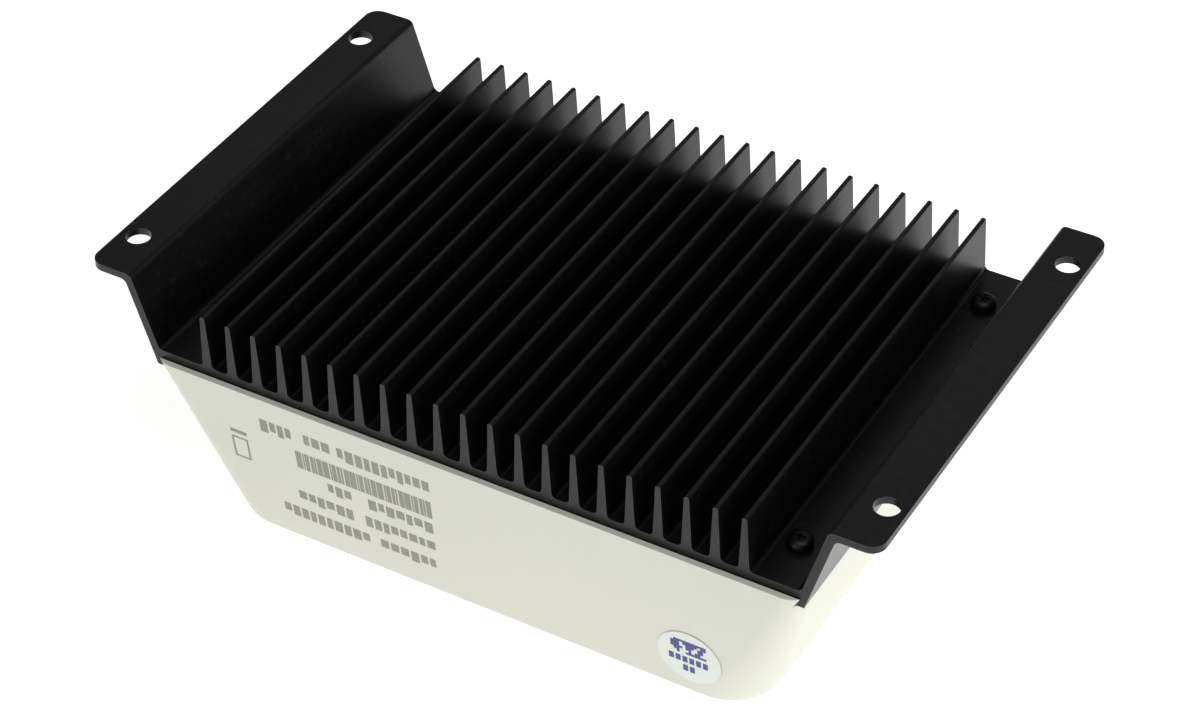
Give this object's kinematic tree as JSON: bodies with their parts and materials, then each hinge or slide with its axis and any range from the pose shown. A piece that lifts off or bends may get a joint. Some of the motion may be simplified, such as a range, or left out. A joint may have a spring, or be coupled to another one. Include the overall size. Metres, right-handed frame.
{
  "type": "solar charge controller",
  "caption": "Solar charge controller lying face down: finned black heat sink with mounting flanges over a tapered cream case with display, buttons and clamp terminals.",
  "frame": {"origin": "centre of the front face, at the bottom of the bounding box, with the controller lying on its front face", "axes": "+Z from the front face to the mounting plane of the flanges, +X across from flange to flange, +Y towards the side where the wires enter, -Y towards the plain side with the sticker"},
  "size_m": [0.194, 0.1184, 0.0638],
  "materials": {
    "black_aluminium": "black anodised, satin",
    "cream_plastic": "fine moulded grain, satin",
    "black_steel": "black zinc plate, satin",
    "clear_pane": "clear acrylic, polished",
    "display_glass": "liquid crystal cell behind clear glass",
    "white_plastic": "moulded, satin",
    "grey_rubber": "moulded silicone, matt",
    "black_plastic": "glass filled moulding, matt",
    "green_plastic": "moulded, semi gloss",
    "board_green": "solder mask over glass epoxy",
    "plated_steel": "zinc plated",
    "nickel": "nickel plated",
    "tinned_brass": "tin plated brass",
    "green_lens": "clear tinted epoxy",
    "amber_lens": "clear tinted epoxy",
    "red_lens": "clear tinted epoxy",
    "silicone_pad": "filled silicone sheet, matt",
    "ferrite": "coated ferrite ring",
    "sticker_paper": "coated paper, satin"
  },
  "bodies": {
    "housing": {"heat_sink": "black_aluminium", "front_case": "cream_plastic", "display_window": "clear_pane", "lcd_holder": "white_plastic", "lcd_panel": "display_glass", "lcd_backlight": "white_plastic", "display_board": "board_green", "menu_switch": "black_plastic", "ok_switch": "black_plastic", "charge_lamp": "green_lens", "battery_lamp": "amber_lens", "load_lamp": "red_lens", "usb_socket_1": "nickel", "usb_socket_2": "nickel", "sensor_socket": "green_plastic", "main_board": "board_green", "clamp_bar": "plated_steel", "insulating_pad": "silicone_pad", "inductor": "ferrite", "capacitor": "black_plastic", "board_header": "black_plastic", "inspection_sticker": "sticker_paper", "case_screw_1": "black_steel", "board_standoff_1": "nickel", "transistor_1": "black_plastic", "case_screw_2": "black_steel", "board_standoff_2": "nickel", "transistor_2": "black_plastic", "case_screw_3": "black_steel", "board_standoff_3": "nickel", "transistor_3": "black_plastic", "case_screw_4": "black_steel", "board_standoff_4": "nickel", "transistor_4": "black_plastic", "clamp_bar_screw_1": "plated_steel", "clamp_bar_screw_2": "plated_steel", "solar_terminal_block": "black_plastic", "battery_terminal_block": "black_plastic", "load_terminal_block": "black_plastic", "solar_plus_bar": "tinned_brass", "solar_minus_bar": "tinned_brass", "battery_plus_bar": "tinned_brass", "battery_minus_bar": "tinned_brass", "load_plus_bar": "tinned_brass", "load_minus_bar": "tinned_brass"},
    "menu_button": {"menu_button": "grey_rubber"},
    "ok_button": {"ok_button": "grey_rubber"},
    "solar_plus_screw": {"solar_plus_screw": "plated_steel"},
    "solar_minus_screw": {"solar_minus_screw": "plated_steel"},
    "battery_plus_screw": {"battery_plus_screw": "plated_steel"},
    "battery_minus_screw": {"battery_minus_screw": "plated_steel"},
    "load_plus_screw": {"load_plus_screw": "plated_steel"},
    "load_minus_screw": {"load_minus_screw": "plated_steel"},
    "solar_plus_cage": {"solar_plus_cage": "plated_steel"},
    "solar_minus_cage": {"solar_minus_cage": "plated_steel"},
    "battery_plus_cage": {"battery_plus_cage": "plated_steel"},
    "battery_minus_cage": {"battery_minus_cage": "plated_steel"},
    "load_plus_cage": {"load_plus_cage": "plated_steel"},
    "load_minus_cage": {"load_minus_cage": "plated_steel"}
  },
  "joints": [
    {"name": "menu_button_press", "type": "slide", "parent": "housing", "child": "menu_button", "axis": [0, 0, 1], "range_m": [0, 0.0006], "stiffness_N_per_m": 600},
    {"name": "ok_button_press", "type": "slide", "parent": "housing", "child": "ok_button", "axis": [0, 0, 1], "range_m": [0, 0.0006], "stiffness_N_per_m": 600},
    {"name": "solar_plus_screw_turn", "type": "hinge", "parent": "housing", "child": "solar_plus_screw", "pos_m": [-0.0425, 0.04201, 0], "axis": [0, 0, 1], "range_deg": [0, 2160]},
    {"name": "solar_plus_cage_travel", "type": "slide", "parent": "housing", "child": "solar_plus_cage", "axis": [0, 0, -1], "range_m": [0, 0.006]},
    {"name": "solar_minus_screw_turn", "type": "hinge", "parent": "housing", "child": "solar_minus_screw", "pos_m": [-0.0255, 0.04201, 0], "axis": [0, 0, 1], "range_deg": [0, 2160]},
    {"name": "solar_minus_cage_travel", "type": "slide", "parent": "housing", "child": "solar_minus_cage", "axis": [0, 0, -1], "range_m": [0, 0.006]},
    {"name": "battery_plus_screw_turn", "type": "hinge", "parent": "housing", "child": "battery_plus_screw", "pos_m": [-0.0085, 0.04201, 0], "axis": [0, 0, 1], "range_deg": [0, 2160]},
    {"name": "battery_plus_cage_travel", "type": "slide", "parent": "housing", "child": "battery_plus_cage", "axis": [0, 0, -1], "range_m": [0, 0.006]},
    {"name": "battery_minus_screw_turn", "type": "hinge", "parent": "housing", "child": "battery_minus_screw", "pos_m": [0.0085, 0.04201, 0], "axis": [0, 0, 1], "range_deg": [0, 2160]},
    {"name": "battery_minus_cage_travel", "type": "slide", "parent": "housing", "child": "battery_minus_cage", "axis": [0, 0, -1], "range_m": [0, 0.006]},
    {"name": "load_plus_screw_turn", "type": "hinge", "parent": "housing", "child": "load_plus_screw", "pos_m": [0.0255, 0.04201, 0], "axis": [0, 0, 1], "range_deg": [0, 2160]},
    {"name": "load_plus_cage_travel", "type": "slide", "parent": "housing", "child": "load_plus_cage", "axis": [0, 0, -1], "range_m": [0, 0.006]},
    {"name": "load_minus_screw_turn", "type": "hinge", "parent": "housing", "child": "load_minus_screw", "pos_m": [0.0425, 0.04201, 0], "axis": [0, 0, 1], "range_deg": [0, 2160]},
    {"name": "load_minus_cage_travel", "type": "slide", "parent": "housing", "child": "load_minus_cage", "axis": [0, 0, -1], "range_m": [0, 0.006]}
  ],
  "couplings": [
    {"joint": "solar_plus_screw_turn", "follows": "solar_plus_cage_travel", "rad_per_m": 6283.2},
    {"joint": "solar_minus_screw_turn", "follows": "solar_minus_cage_travel", "rad_per_m": 6283.2},
    {"joint": "battery_plus_screw_turn", "follows": "battery_plus_cage_travel", "rad_per_m": 6283.2},
    {"joint": "battery_minus_screw_turn", "follows": "battery_minus_cage_travel", "rad_per_m": 6283.2},
    {"joint": "load_plus_screw_turn", "follows": "load_plus_cage_travel", "rad_per_m": 6283.2},
    {"joint": "load_minus_screw_turn", "follows": "load_minus_cage_travel", "rad_per_m": 6283.2}
  ]
}
